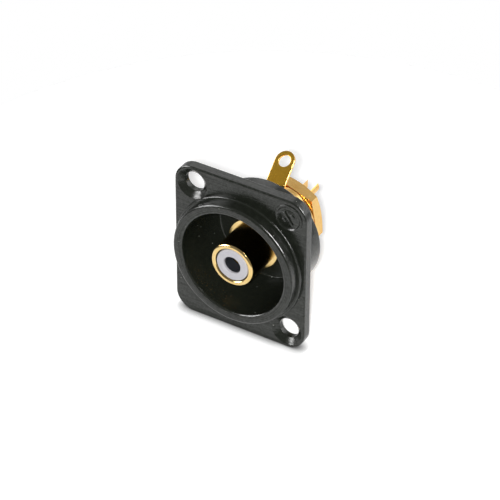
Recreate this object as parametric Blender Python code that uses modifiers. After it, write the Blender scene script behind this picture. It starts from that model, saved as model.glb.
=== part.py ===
"""RCA panel socket for a D-size panel cut-out.

A moulded plastic housing carries a turned coaxial jack in a round recess.
The jack is held from behind by a washer and a hex nut, with a bent ground tag
under them. Everything is modelled on one axis: local X is to the right, local Y
is up, and local Z points forward out of the panel. Zero is the panel face that
the flange seats on. The frame empty turns that axis so that the socket faces
world -Y and +Z is up.
"""

import math

import bmesh
import bpy
from mathutils import Matrix, Vector

MM = 0.001

# Flange, the plate that screws to the panel.
FLANGE_WIDTH = 26.0 * MM
FLANGE_HEIGHT = 31.0 * MM
FLANGE_THICKNESS = 2.0 * MM
FLANGE_CORNER_RADIUS = 3.5 * MM
FLANGE_EDGE_ROUND = 0.25 * MM
SCREW_EDGE_DISTANCE = 3.5 * MM
SCREW_HOLE_DIAMETER = 3.8 * MM
COUNTERSINK_DIAMETER = 6.0 * MM
COUNTERSINK_ANGLE = math.radians(100.0)

# Stepped collar on the front of the flange. Its widths run inwards from the flange's sides.
STEP_SIDE_MARGIN = 0.5 * MM
STEP_HEIGHT = 0.8 * MM
STEP_EDGE_ROUND = 0.15 * MM
STEP_LEDGE = 0.6 * MM
COLLAR_HEIGHT = 2.65 * MM
COLLAR_EDGE_ROUND = 0.25 * MM
COLLAR_WALL = 1.8 * MM

# Recess around the jack and the cup that forms it behind the flange.
RECESS_MOUTH_ROUND = 0.5 * MM
RECESS_TAPER = 0.5 * MM
RECESS_DEPTH = 11.65 * MM
RECESS_FLOOR_ROUND = 0.4 * MM
CUP_WALL = 0.9 * MM
CUP_FLOOR = 0.8 * MM
CUP_REAR_ROUND = 0.4 * MM
BOSS_WALL = 1.8 * MM
BOSS_LENGTH = 3.0 * MM
BOSS_EDGE_ROUND = 0.2 * MM

# Jack shell, one turned piece from the rim to the threaded end.
JACK_DIAMETER = 8.3 * MM
JACK_WALL = 0.9 * MM
JACK_RIM_BEHIND_COLLAR = 0.0 * MM
JACK_RIM_ROUND = 0.42 * MM
JACK_BORE_ROUND = 0.2 * MM
SHOULDER_RISE = 0.85 * MM
SHOULDER_LENGTH = 4.3 * MM
SHOULDER_EDGE_ROUND = 0.2 * MM
SHOULDER_SEAT = 0.25 * MM
THREAD_BEYOND_NUT = 0.6 * MM
THREAD_END_CHAMFER = 0.3 * MM

# Insulators and centre contact inside the shell.
PIN_HOLE_DIAMETER = 3.3 * MM
INSULATOR_SET_BACK = 0.1 * MM
INSULATOR_LIP = 1.2 * MM
INSULATOR_EDGE_ROUND = 0.12 * MM
CONTACT_BEHIND_LIP = 1.8 * MM
CONTACT_BORE_DIAMETER = 3.2 * MM
CONTACT_WALL = 0.4 * MM
CONTACT_TUBE_LENGTH = 8.2 * MM
CONTACT_SOLID_LENGTH = 2.0 * MM
CONTACT_SLOT_WIDTH = 0.4 * MM
CONTACT_SLOT_LENGTH = 5.5 * MM
CONTACT_FLANGE_RISE = 0.7 * MM
CONTACT_FLANGE_THICKNESS = 0.8 * MM
TAIL_DIAMETER = 2.7 * MM
TAIL_BEYOND_SHELL = 7.2 * MM
TAIL_PRONG_THICKNESS = 0.3 * MM
TAIL_PRONG_LENGTH = 3.0 * MM
TAIL_WALL = 0.4 * MM
TAIL_CUP_DEPTH = 3.6 * MM

# Ground tag, washer and nut on the threaded end.
TAG_THICKNESS = 0.5 * MM
TAG_RING_WIDTH = 2.05 * MM
TAG_LUG_WIDTH = 3.8 * MM
TAG_LUG_ANGLE = math.radians(96.5)
TAG_LUG_LEAN = math.radians(54.0)
TAG_LUG_HOLE_FROM_BEND = 4.3 * MM
TAG_LUG_HOLE_DIAMETER = 2.3 * MM
TAG_BEND_RADIUS = 0.4 * MM
WASHER_RING_WIDTH = 1.4 * MM
WASHER_THICKNESS = 1.0 * MM
WASHER_EDGE_ROUND = 0.14 * MM
NUT_WALL = 1.45 * MM
NUT_THICKNESS = 2.5 * MM
NUT_FLAT_ANGLE = math.radians(70.5)
NUT_CHAMFER_ANGLE = math.radians(30.0)
NUT_CHAMFER_INSIDE_FLATS = 0.25 * MM

# Clearances.
SEAT_GAP = 0.2 * MM
FIT_GAP = 0.15 * MM
CUT_MARGIN = 1.0 * MM

# Facets.
LARGE_ROUND_STEPS = 72
SMALL_ROUND_STEPS = 48
CONTACT_STEPS = 32
CORNER_STEPS = 8
EDGE_ROUND_STEPS = 3
BEND_STEPS = 6

# Heights along the socket's axis, forward positive, all from the panel face.
FLANGE_FRONT = FLANGE_THICKNESS
COLLAR_FRONT = FLANGE_FRONT + COLLAR_HEIGHT
FLOOR_FRONT = COLLAR_FRONT - RECESS_DEPTH
FLOOR_BACK = FLOOR_FRONT - CUP_FLOOR
BOSS_BACK = FLOOR_BACK - BOSS_LENGTH
TAG_FRONT = BOSS_BACK - SEAT_GAP
TAG_BACK = TAG_FRONT - TAG_THICKNESS
WASHER_FRONT = TAG_BACK - SEAT_GAP
WASHER_BACK = WASHER_FRONT - WASHER_THICKNESS
NUT_FRONT = WASHER_BACK - SEAT_GAP
NUT_BACK = NUT_FRONT - NUT_THICKNESS
SHELL_BACK = NUT_BACK - THREAD_BEYOND_NUT
SHELL_FRONT = COLLAR_FRONT - JACK_RIM_BEHIND_COLLAR
SHOULDER_BACK = FLOOR_FRONT + SEAT_GAP
SHOULDER_FRONT = SHOULDER_BACK + SHOULDER_LENGTH
INSULATOR_FRONT = SHELL_FRONT - INSULATOR_SET_BACK
CONTACT_FRONT = INSULATOR_FRONT - INSULATOR_LIP - CONTACT_BEHIND_LIP
CONTACT_FLANGE_FRONT = CONTACT_FRONT - CONTACT_TUBE_LENGTH - CONTACT_SOLID_LENGTH
CONTACT_FLANGE_BACK = CONTACT_FLANGE_FRONT - CONTACT_FLANGE_THICKNESS
TAIL_BACK = SHELL_BACK - TAIL_BEYOND_SHELL

# Radii of the housing, inwards from the flange's sides.
STEP_RADIUS = FLANGE_WIDTH / 2 - STEP_SIDE_MARGIN
COLLAR_RADIUS = STEP_RADIUS - STEP_LEDGE
RECESS_FLOOR_RADIUS = COLLAR_RADIUS - COLLAR_WALL - RECESS_TAPER

# Radii of the turned pieces, outwards and inwards from the jack.
JACK_RADIUS = JACK_DIAMETER / 2
JACK_BORE_RADIUS = JACK_RADIUS - JACK_WALL
SHOULDER_RADIUS = JACK_RADIUS + SHOULDER_RISE
THREAD_RADIUS = SHOULDER_RADIUS - SHOULDER_SEAT
CLEAR_HOLE_RADIUS = THREAD_RADIUS + FIT_GAP
BOSS_RADIUS = CLEAR_HOLE_RADIUS + BOSS_WALL
TAG_RING_RADIUS = CLEAR_HOLE_RADIUS + TAG_RING_WIDTH
WASHER_RADIUS = CLEAR_HOLE_RADIUS + WASHER_RING_WIDTH
NUT_FLAT_RADIUS = CLEAR_HOLE_RADIUS + NUT_WALL
INSULATOR_RADIUS = JACK_BORE_RADIUS - FIT_GAP
CONTACT_RADIUS = CONTACT_BORE_DIAMETER / 2 + CONTACT_WALL
CONTACT_HOUSING_RADIUS = CONTACT_RADIUS + FIT_GAP
TAIL_RADIUS = TAIL_DIAMETER / 2
TAIL_HOLE_RADIUS = TAIL_RADIUS + FIT_GAP


def recess_radius(height):
    """Radius of the tapered recess wall at a height along the axis."""
    return RECESS_FLOOR_RADIUS + RECESS_TAPER * (height - FLOOR_FRONT) / RECESS_DEPTH


def cup_radius(height):
    """Outer radius of the cup behind the flange, a wall outside the recess."""
    return recess_radius(height) + CUP_WALL


def rounded(corners):
    """Points through closed (x, y, radius) corners, with each corner rounded."""
    points = []
    for index, (x, y, radius) in enumerate(corners):
        corner = Vector((x, y))
        if radius <= 0.0:
            points.append(corner)
            continue
        before = (Vector(corners[index - 1][:2]) - corner).normalized()
        after = (Vector(corners[(index + 1) % len(corners)][:2]) - corner).normalized()
        half_angle = before.angle(after) / 2
        centre = corner + (before + after).normalized() * radius / math.sin(half_angle)
        start = corner + before * radius / math.tan(half_angle) - centre
        end = corner + after * radius / math.tan(half_angle) - centre
        sweep = start.angle_signed(end)
        for step in range(EDGE_ROUND_STEPS + 1):
            turn = Matrix.Rotation(-sweep * step / EDGE_ROUND_STEPS, 2)
            points.append(centre + turn @ start)
    return points


def arc(radius, start, end, steps, centre=(0.0, 0.0)):
    """Points on an arc from one angle to another."""
    points = []
    for step in range(steps + 1):
        angle = start + (end - start) * step / steps
        x = centre[0] + radius * math.cos(angle)
        y = centre[1] + radius * math.sin(angle)
        points.append(Vector((x, y)))
    return points


def new_collection(name):
    """A collection in the scene."""
    collection = bpy.data.collections.new(name)
    bpy.context.scene.collection.children.link(collection)
    return collection


def place(obj, collection, material=None):
    """Put an object on the socket's axis, in its collection."""
    collection.objects.link(obj)
    obj.parent = FRAME
    if material is None:
        obj.hide_render = True
        obj.display_type = "WIRE"
    else:
        obj.data.materials.append(material)
    return obj


def turned(name, points, collection, material=None, steps=SMALL_ROUND_STEPS, closed=True):
    """A profile in the XZ plane turned about Z. It runs down the outer side."""
    mesh = bpy.data.meshes.new(name)
    vertices = [(point[0], 0.0, point[1]) for point in points]
    edges = [(index, index + 1) for index in range(len(points) - 1)]
    if closed:
        edges.append((len(points) - 1, 0))
    mesh.from_pydata(vertices, edges, [])
    obj = place(bpy.data.objects.new(name, mesh), collection, material)
    screw = obj.modifiers.new("turn", "SCREW")
    screw.axis = "Z"
    screw.steps = steps
    screw.render_steps = steps
    screw.use_merge_vertices = True
    screw.merge_threshold = 0.001 * MM
    screw.use_smooth_shade = True
    return obj


def flat_plate(name, outlines, thickness, collection, material=None):
    """A plate of a given thickness, centred on z = 0, from closed 2D outlines."""
    curve = bpy.data.curves.new(name, "CURVE")
    curve.dimensions = "2D"
    curve.fill_mode = "BOTH"
    curve.extrude = thickness / 2
    for outline in outlines:
        spline = curve.splines.new("POLY")
        spline.points.add(len(outline) - 1)
        for point, position in zip(spline.points, outline):
            point.co = (position[0], position[1], 0.0, 1.0)
        spline.use_cyclic_u = True
    source = bpy.data.objects.new(name + "_outline", curve)
    bpy.context.scene.collection.objects.link(source)
    evaluated = source.evaluated_get(bpy.context.evaluated_depsgraph_get())
    mesh = bpy.data.meshes.new_from_object(evaluated)
    mesh.name = name
    form = bmesh.new()
    form.from_mesh(mesh)
    bmesh.ops.remove_doubles(form, verts=form.verts, dist=0.001 * MM)
    bmesh.ops.recalc_face_normals(form, faces=form.faces)
    form.to_mesh(mesh)
    form.free()
    bpy.data.objects.remove(source)
    return place(bpy.data.objects.new(name, mesh), collection, material)


def box_cutter(name, size, centre):
    """A box that is cut away."""
    mesh = bpy.data.meshes.new(name)
    form = bmesh.new()
    bmesh.ops.create_cube(form, size=1.0, matrix=Matrix.Diagonal((*size, 1.0)))
    form.to_mesh(mesh)
    form.free()
    obj = place(bpy.data.objects.new(name, mesh), CUTTERS)
    obj.location = centre
    return obj


def combine(obj, other, operation):
    """Boolean another object into this one."""
    modifier = obj.modifiers.new(other.name, "BOOLEAN")
    modifier.operation = operation
    modifier.solver = "EXACT"
    modifier.object = other


def principled(name, colour, roughness, metallic):
    """A plain material of one colour."""
    material = bpy.data.materials.new(name)
    material.use_nodes = True
    shader = material.node_tree.nodes["Principled BSDF"]
    shader.inputs["Base Color"].default_value = (*colour, 1.0)
    shader.inputs["Roughness"].default_value = roughness
    shader.inputs["Metallic"].default_value = metallic
    return material


def black_plastic():
    """Glass-filled nylon moulding, near black with a soft sheen."""
    return principled("black_nylon", (0.022, 0.023, 0.022), 0.42, 0.0)


def white_plastic():
    """Pale insulator plastic with a slight cool tint."""
    return principled("pale_insulator", (0.58, 0.58, 0.64), 0.35, 0.0)


def grey_plastic():
    """Plain insulator that closes the rear of the shell."""
    return principled("rear_insulator", (0.30, 0.30, 0.31), 0.45, 0.0)


def bright_gold():
    """Bright gold plate over turned brass."""
    return principled("gold_plate_bright", (0.86, 0.62, 0.24), 0.16, 1.0)


def tag_gold():
    """Gold plate over stamped sheet, a little duller."""
    return principled("gold_plate_sheet", (0.66, 0.44, 0.12), 0.26, 1.0)


def contact_gold():
    """Gold plate on the centre contact."""
    return principled("gold_plate_contact", (0.80, 0.56, 0.22), 0.24, 1.0)


def rounded_rectangle(width, height, radius):
    """Outline of a rectangle with round corners."""
    points = []
    corners = ((1, 1), (-1, 1), (-1, -1), (1, -1))
    for index, (right, up) in enumerate(corners):
        start = index * math.pi / 2
        centre = (right * (width / 2 - radius), up * (height / 2 - radius))
        points += arc(radius, start, start + math.pi / 2, CORNER_STEPS, centre)
    return points


def turned_housing_form():
    """Collar, cup, recess and rear boss as one turned ring."""
    root = FLANGE_THICKNESS / 2
    corners = [
        (recess_radius(COLLAR_FRONT), COLLAR_FRONT, RECESS_MOUTH_ROUND),
        (COLLAR_RADIUS, COLLAR_FRONT, COLLAR_EDGE_ROUND),
        (COLLAR_RADIUS, FLANGE_FRONT + STEP_HEIGHT, 0.0),
        (STEP_RADIUS, FLANGE_FRONT + STEP_HEIGHT, STEP_EDGE_ROUND),
        (STEP_RADIUS, root, 0.0),
        (cup_radius(root), root, 0.0),
        (cup_radius(FLOOR_BACK), FLOOR_BACK, CUP_REAR_ROUND),
        (BOSS_RADIUS, FLOOR_BACK, 0.0),
        (BOSS_RADIUS, BOSS_BACK, BOSS_EDGE_ROUND),
        (CLEAR_HOLE_RADIUS, BOSS_BACK, 0.0),
        (CLEAR_HOLE_RADIUS, FLOOR_FRONT, 0.0),
        (recess_radius(FLOOR_FRONT), FLOOR_FRONT, RECESS_FLOOR_ROUND),
    ]
    return turned("housing_turned_form", rounded(corners), CUTTERS, steps=LARGE_ROUND_STEPS)


def screw_cutter(name, x, y):
    """Countersunk hole for a flat-head screw."""
    sink_radius = COUNTERSINK_DIAMETER / 2
    hole_radius = SCREW_HOLE_DIAMETER / 2
    sink_depth = (sink_radius - hole_radius) / math.tan(COUNTERSINK_ANGLE / 2)
    points = [
        (0.0, FLANGE_FRONT + CUT_MARGIN),
        (sink_radius, FLANGE_FRONT + CUT_MARGIN),
        (sink_radius, FLANGE_FRONT),
        (hole_radius, FLANGE_FRONT - sink_depth),
        (hole_radius, -CUT_MARGIN),
        (0.0, -CUT_MARGIN),
    ]
    obj = turned(name, points, CUTTERS, closed=False)
    obj.location = (x, y, 0.0)
    return obj


def housing():
    """The one-piece moulding: flange, collar, recess cup and rear boss."""
    outline = rounded_rectangle(FLANGE_WIDTH, FLANGE_HEIGHT, FLANGE_CORNER_RADIUS)
    obj = flat_plate("housing", [outline], FLANGE_THICKNESS, PART, black_plastic())
    form = bmesh.new()
    form.from_mesh(obj.data)
    bmesh.ops.translate(form, vec=(0.0, 0.0, FLANGE_THICKNESS / 2), verts=form.verts)
    rim = [edge for edge in form.edges if edge.calc_face_angle(0.0) > math.radians(60.0)]
    bmesh.ops.bevel(form, geom=rim, offset=FLANGE_EDGE_ROUND, segments=2, profile=0.5, affect="EDGES")
    form.to_mesh(obj.data)
    form.free()
    opening_radius = (recess_radius(FLANGE_FRONT) + cup_radius(0.0)) / 2
    opening = [
        (0.0, FLANGE_FRONT + CUT_MARGIN),
        (opening_radius, FLANGE_FRONT + CUT_MARGIN),
        (opening_radius, -CUT_MARGIN),
        (0.0, -CUT_MARGIN),
    ]
    cut = turned("flange_opening", opening, CUTTERS, steps=LARGE_ROUND_STEPS, closed=False)
    combine(obj, cut, "DIFFERENCE")
    combine(obj, turned_housing_form(), "UNION")
    x = FLANGE_WIDTH / 2 - SCREW_EDGE_DISTANCE
    y = FLANGE_HEIGHT / 2 - SCREW_EDGE_DISTANCE
    combine(obj, screw_cutter("upper_screw_hole", -x, y), "DIFFERENCE")
    combine(obj, screw_cutter("lower_screw_hole", x, -y), "DIFFERENCE")
    return obj


def jack_shell():
    """Rim, barrel, shoulder and threaded end turned from one bar."""
    corners = [
        (JACK_BORE_RADIUS, SHELL_FRONT, JACK_BORE_ROUND),
        (JACK_RADIUS, SHELL_FRONT, JACK_RIM_ROUND),
        (JACK_RADIUS, SHOULDER_FRONT, 0.0),
        (SHOULDER_RADIUS, SHOULDER_FRONT, SHOULDER_EDGE_ROUND),
        (SHOULDER_RADIUS, SHOULDER_BACK, 0.0),
        (THREAD_RADIUS, SHOULDER_BACK, 0.0),
        (THREAD_RADIUS, SHELL_BACK + THREAD_END_CHAMFER, 0.0),
        (THREAD_RADIUS - THREAD_END_CHAMFER, SHELL_BACK, 0.0),
        (JACK_BORE_RADIUS, SHELL_BACK, 0.0),
    ]
    return turned("jack_shell", rounded(corners), PART, bright_gold())


def front_insulator():
    """Pale tube that centres the contact in the rim of the jack."""
    back = CONTACT_FLANGE_FRONT + SEAT_GAP
    lip_back = INSULATOR_FRONT - INSULATOR_LIP
    corners = [
        (PIN_HOLE_DIAMETER / 2, INSULATOR_FRONT, INSULATOR_EDGE_ROUND),
        (INSULATOR_RADIUS, INSULATOR_FRONT, INSULATOR_EDGE_ROUND),
        (INSULATOR_RADIUS, back, 0.0),
        (CONTACT_HOUSING_RADIUS, back, 0.0),
        (CONTACT_HOUSING_RADIUS, lip_back, 0.0),
        (PIN_HOLE_DIAMETER / 2, lip_back, 0.0),
    ]
    return turned("front_insulator", rounded(corners), PART, white_plastic())


def centre_contact():
    """Slotted spring tube for the plug's pin, with a forked solder tail."""
    bore_back = CONTACT_FRONT - CONTACT_TUBE_LENGTH
    flange_radius = CONTACT_RADIUS + CONTACT_FLANGE_RISE
    cup_radius_in_tail = TAIL_RADIUS - TAIL_WALL
    cup_front = TAIL_BACK + TAIL_CUP_DEPTH
    points = [
        (0.0, bore_back),
        (CONTACT_BORE_DIAMETER / 2, bore_back),
        (CONTACT_BORE_DIAMETER / 2, CONTACT_FRONT),
        (CONTACT_RADIUS, CONTACT_FRONT),
        (CONTACT_RADIUS, CONTACT_FLANGE_FRONT),
        (flange_radius, CONTACT_FLANGE_FRONT),
        (flange_radius, CONTACT_FLANGE_BACK),
        (TAIL_RADIUS, CONTACT_FLANGE_BACK),
        (TAIL_RADIUS, TAIL_BACK),
        (cup_radius_in_tail, TAIL_BACK),
        (cup_radius_in_tail, cup_front),
        (0.0, cup_front),
    ]
    obj = turned("centre_contact", points, PART, contact_gold(), steps=CONTACT_STEPS, closed=False)
    reach = 2 * CONTACT_RADIUS + CUT_MARGIN
    slot_centre = (0.0, 0.0, CONTACT_FRONT - (CONTACT_SLOT_LENGTH - CUT_MARGIN) / 2)
    slot_depth = CONTACT_SLOT_LENGTH + CUT_MARGIN
    slots = (
        ("level_contact_slot", (reach, CONTACT_SLOT_WIDTH, slot_depth)),
        ("upright_contact_slot", (CONTACT_SLOT_WIDTH, reach, slot_depth)),
    )
    for name, size in slots:
        combine(obj, box_cutter(name, size, slot_centre), "DIFFERENCE")
    fork_gap = TAIL_DIAMETER - 2 * TAIL_PRONG_THICKNESS
    fork_size = (fork_gap, TAIL_DIAMETER + CUT_MARGIN, TAIL_PRONG_LENGTH + CUT_MARGIN)
    fork_centre = (0.0, 0.0, TAIL_BACK + (TAIL_PRONG_LENGTH - CUT_MARGIN) / 2)
    combine(obj, box_cutter("tail_fork_gap", fork_size, fork_centre), "DIFFERENCE")
    return obj


def rear_insulator():
    """Plug that holds the contact's flange from behind."""
    front = CONTACT_FLANGE_BACK - SEAT_GAP
    corners = [
        (TAIL_HOLE_RADIUS, front, 0.0),
        (INSULATOR_RADIUS, front, 0.0),
        (INSULATOR_RADIUS, SHELL_BACK, INSULATOR_EDGE_ROUND),
        (TAIL_HOLE_RADIUS, SHELL_BACK, INSULATOR_EDGE_ROUND),
    ]
    return turned("rear_insulator", rounded(corners), PART, grey_plastic())


def bend_blank(mesh, bend_start):
    """Bend the flat blank beyond a line, back from its own plane."""
    neutral_radius = TAG_BEND_RADIUS + TAG_THICKNESS / 2
    bend_length = neutral_radius * TAG_LUG_LEAN
    form = bmesh.new()
    form.from_mesh(mesh)
    for step in range(BEND_STEPS + 1):
        line = bend_start + bend_length * step / BEND_STEPS
        parts = form.verts[:] + form.edges[:] + form.faces[:]
        bmesh.ops.bisect_plane(form, geom=parts, plane_co=(0.0, line, 0.0), plane_no=(0.0, 1.0, 0.0))
    for vertex in form.verts:
        beyond = vertex.co.y - bend_start
        if beyond <= 0.0:
            continue
        angle = min(beyond, bend_length) / neutral_radius
        straight = max(beyond - bend_length, 0.0)
        radius = neutral_radius + vertex.co.z
        outward = radius * math.sin(angle) + straight * math.cos(angle)
        backward = neutral_radius - radius * math.cos(angle) + straight * math.sin(angle)
        vertex.co.y = bend_start + outward
        vertex.co.z = -backward
    form.to_mesh(mesh)
    form.free()


def ground_tag():
    """Stamped ring with a solder lug bent up and back from its edge."""
    half_width = TAG_LUG_WIDTH / 2
    bend_start = math.sqrt(TAG_RING_RADIUS**2 - half_width**2)
    bend_length = (TAG_BEND_RADIUS + TAG_THICKNESS / 2) * TAG_LUG_LEAN
    hole_y = bend_start + bend_length + TAG_LUG_HOLE_FROM_BEND
    edge_angle = math.acos(half_width / TAG_RING_RADIUS)
    ring = arc(TAG_RING_RADIUS, math.pi - edge_angle, 2 * math.pi + edge_angle, SMALL_ROUND_STEPS)
    end = arc(half_width, 0.0, math.pi, 2 * CORNER_STEPS, (0.0, hole_y))
    bore = arc(CLEAR_HOLE_RADIUS, 0.0, 2 * math.pi, SMALL_ROUND_STEPS)[:-1]
    hole = arc(TAG_LUG_HOLE_DIAMETER / 2, 0.0, 2 * math.pi, 2 * CORNER_STEPS, (0.0, hole_y))[:-1]
    obj = flat_plate("ground_tag", [ring + end, bore, hole], TAG_THICKNESS, PART, tag_gold())
    bend_blank(obj.data, bend_start)
    obj.data.shade_smooth()
    obj.data.set_sharp_from_angle(angle=math.radians(35.0))
    obj.location = (0.0, 0.0, TAG_FRONT - TAG_THICKNESS / 2)
    obj.rotation_euler = (0.0, 0.0, TAG_LUG_ANGLE - math.pi / 2)
    return obj


def flat_washer():
    """Thick plain washer between the tag and the nut."""
    corners = [
        (CLEAR_HOLE_RADIUS, WASHER_FRONT, 0.0),
        (WASHER_RADIUS, WASHER_FRONT, WASHER_EDGE_ROUND),
        (WASHER_RADIUS, WASHER_BACK, WASHER_EDGE_ROUND),
        (CLEAR_HOLE_RADIUS, WASHER_BACK, 0.0),
    ]
    return turned("flat_washer", rounded(corners), PART, bright_gold())


def hex_nut():
    """Thin hex nut, flat on the washer and chamfered behind."""
    corner_radius = NUT_FLAT_RADIUS / math.cos(math.pi / 6)
    face_radius = NUT_FLAT_RADIUS - NUT_CHAMFER_INSIDE_FLATS
    outline = []
    for index in range(6):
        angle = NUT_FLAT_ANGLE + math.pi / 6 + index * math.pi / 3
        outline.append((corner_radius * math.cos(angle), corner_radius * math.sin(angle)))
    obj = flat_plate("hex_nut", [outline], NUT_THICKNESS, PART, bright_gold())
    obj.location = (0.0, 0.0, (NUT_FRONT + NUT_BACK) / 2)
    reach = corner_radius + FIT_GAP
    slope = math.tan(NUT_CHAMFER_ANGLE)
    half_length = NUT_THICKNESS / 2 + CUT_MARGIN
    side = (reach - face_radius) * slope - NUT_THICKNESS / 2
    tip = -face_radius * slope - NUT_THICKNESS / 2
    cone = [(0.0, half_length), (reach, half_length), (reach, side), (0.0, tip)]
    chamfer = turned("nut_chamfer", cone, CUTTERS, closed=False)
    chamfer.location = obj.location
    combine(obj, chamfer, "INTERSECT")
    bore = [
        (0.0, half_length),
        (CLEAR_HOLE_RADIUS, half_length),
        (CLEAR_HOLE_RADIUS, -half_length),
        (0.0, -half_length),
    ]
    cut = turned("nut_bore", bore, CUTTERS, closed=False)
    cut.location = obj.location
    combine(obj, cut, "DIFFERENCE")
    return obj


for old in list(bpy.data.objects):
    bpy.data.objects.remove(old)

PART = new_collection("rca_panel_socket")
CUTTERS = new_collection("cutters")
FRAME = bpy.data.objects.new("socket_frame", None)
PART.objects.link(FRAME)
FRAME.rotation_euler = (math.radians(90.0), 0.0, 0.0)

housing()
jack_shell()
front_insulator()
centre_contact()
rear_insulator()
ground_tag()
flat_washer()
hex_nut()
bpy.context.view_layer.update()
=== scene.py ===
"""Looks of an RCA panel socket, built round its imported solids.

Every piece is made in the socket's own frame, in metres: X to the right, Y up and
Z forward out of the panel, with zero on the panel face. finish_piece() turns it to
the row frame, where the socket faces -Y and +Z is up.
"""

import math

import bmesh
import bpy
from mathutils import Matrix, Quaternion, Vector


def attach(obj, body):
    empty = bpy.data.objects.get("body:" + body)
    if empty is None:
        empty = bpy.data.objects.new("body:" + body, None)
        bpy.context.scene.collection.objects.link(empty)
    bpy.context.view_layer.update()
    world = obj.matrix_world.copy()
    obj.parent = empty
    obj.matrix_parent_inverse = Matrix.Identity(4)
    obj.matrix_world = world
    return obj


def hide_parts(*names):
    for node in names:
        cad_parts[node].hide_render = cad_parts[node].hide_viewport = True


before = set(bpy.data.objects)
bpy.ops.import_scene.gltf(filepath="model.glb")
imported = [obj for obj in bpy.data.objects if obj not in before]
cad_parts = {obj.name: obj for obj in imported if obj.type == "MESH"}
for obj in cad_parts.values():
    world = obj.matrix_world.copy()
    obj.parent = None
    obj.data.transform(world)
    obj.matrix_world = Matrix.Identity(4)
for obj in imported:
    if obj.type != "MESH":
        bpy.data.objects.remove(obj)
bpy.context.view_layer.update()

MM = 0.001
TO_ROW_FRAME = Matrix.Rotation(math.radians(90.0), 4, "X")

# Flange, the plate that screws to the panel. From here to the clearances, the sizes are the solids' own.
FLANGE_WIDTH = 26.0 * MM
FLANGE_HEIGHT = 31.0 * MM
FLANGE_THICKNESS = 2.0 * MM
FLANGE_CORNER_RADIUS = 3.5 * MM
SCREW_EDGE_DISTANCE = 3.5 * MM
SCREW_HOLE_RADIUS = 1.9 * MM
COUNTERSINK_RADIUS = 3.0 * MM
COUNTERSINK_DEPTH = 0.923 * MM

# Stepped collar on the front of the flange.
STEP_SIDE_MARGIN = 0.5 * MM
STEP_HEIGHT = 0.8 * MM
STEP_LEDGE = 0.6 * MM
COLLAR_HEIGHT = 2.65 * MM
COLLAR_WALL = 1.8 * MM

# Recess round the jack, and the cup and boss that carry it behind the flange.
RECESS_TAPER = 0.5 * MM
RECESS_DEPTH = 11.65 * MM
CUP_WALL = 0.9 * MM
CUP_FLOOR = 0.8 * MM
BOSS_WALL = 1.8 * MM
BOSS_LENGTH = 3.0 * MM

# Jack shell, one turned piece from the rim to the threaded end.
JACK_RADIUS = 4.15 * MM
JACK_WALL = 0.9 * MM
SHOULDER_RISE = 0.85 * MM
SHOULDER_LENGTH = 4.3 * MM
SHOULDER_SEAT = 0.25 * MM
THREAD_BEYOND_NUT = 0.6 * MM
THREAD_END_CHAMFER = 0.3 * MM

# Insulators and centre contact inside the shell.
PIN_HOLE_RADIUS = 1.65 * MM
INSULATOR_SET_BACK = 0.1 * MM
INSULATOR_LIP = 1.2 * MM
CONTACT_BEHIND_LIP = 1.8 * MM
CONTACT_BORE_RADIUS = 1.6 * MM
CONTACT_WALL = 0.4 * MM
CONTACT_TUBE_LENGTH = 8.2 * MM
CONTACT_SOLID_LENGTH = 2.0 * MM
CONTACT_SLOT_WIDTH = 0.4 * MM
CONTACT_SLOT_LENGTH = 5.5 * MM
CONTACT_FLANGE_RISE = 0.7 * MM
CONTACT_FLANGE_THICKNESS = 0.8 * MM
TAIL_RADIUS = 1.35 * MM
TAIL_BEYOND_SHELL = 7.2 * MM
TAIL_PRONG_THICKNESS = 0.3 * MM
TAIL_PRONG_LENGTH = 3.0 * MM
TAIL_WALL = 0.4 * MM
TAIL_CUP_DEPTH = 3.6 * MM

# Ground tag, washer and nut on the threaded end.
TAG_THICKNESS = 0.5 * MM
TAG_RING_WIDTH = 2.05 * MM
TAG_LUG_WIDTH = 3.8 * MM
TAG_LUG_ANGLE = math.radians(96.5)
TAG_LUG_LEAN = math.radians(54.0)
TAG_BEND_RADIUS = 0.4 * MM
TAG_HOLE_FROM_BEND = 4.3 * MM
TAG_HOLE_RADIUS = 1.15 * MM
WASHER_RING_WIDTH = 1.4 * MM
NUT_WALL = 1.45 * MM
NUT_THICKNESS = 2.5 * MM
NUT_FLAT_ANGLE = math.radians(70.5)
NUT_CHAMFER_ANGLE = math.radians(30.0)
NUT_CHAMFER_INSIDE_FLATS = 0.25 * MM

# Clearances.
SEAT_GAP = 0.2 * MM
FIT_GAP = 0.15 * MM
CUT_MARGIN = 1.0 * MM

# Drawn closer than the solids, as the real pieces sit: a thicker washer, and a tighter hole for the tail.
WASHER_BEHIND_TAG = 0.1 * MM
WASHER_THICKNESS = 1.25 * MM
NUT_BEHIND_WASHER = 0.05 * MM
TAIL_GAP = 0.1 * MM

# Roundings of the moulding. Wider ones than the solids' draw the thin highlights.
FLANGE_EDGE_ROUND = 0.28 * MM
COLLAR_EDGE_ROUND = 0.42 * MM
STEP_EDGE_ROUND = 0.22 * MM
RECESS_MOUTH_ROUND = 0.5 * MM
RECESS_FLOOR_ROUND = 0.4 * MM
CUP_REAR_ROUND = 0.4 * MM
BOSS_ROOT_ROUND = 0.25 * MM
BOSS_EDGE_ROUND = 0.2 * MM
BOSS_HOLE_ROUND = 0.12 * MM
SCREW_LIP_ROUND = 0.16 * MM
SCREW_LIP_TURN = math.radians(40.0)
SCREW_HOLE_ROUND = 0.1 * MM
LIP_MARGIN = 1.02
LIP_OVERSHOOT = 0.003 * MM

# How the moulding's ring overlaps the opened flange that it is joined to.
COLLAR_ROOT = 1.0 * MM
RING_OVERLAP = 0.1 * MM
OPENING_MARGIN = 0.3 * MM

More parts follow.
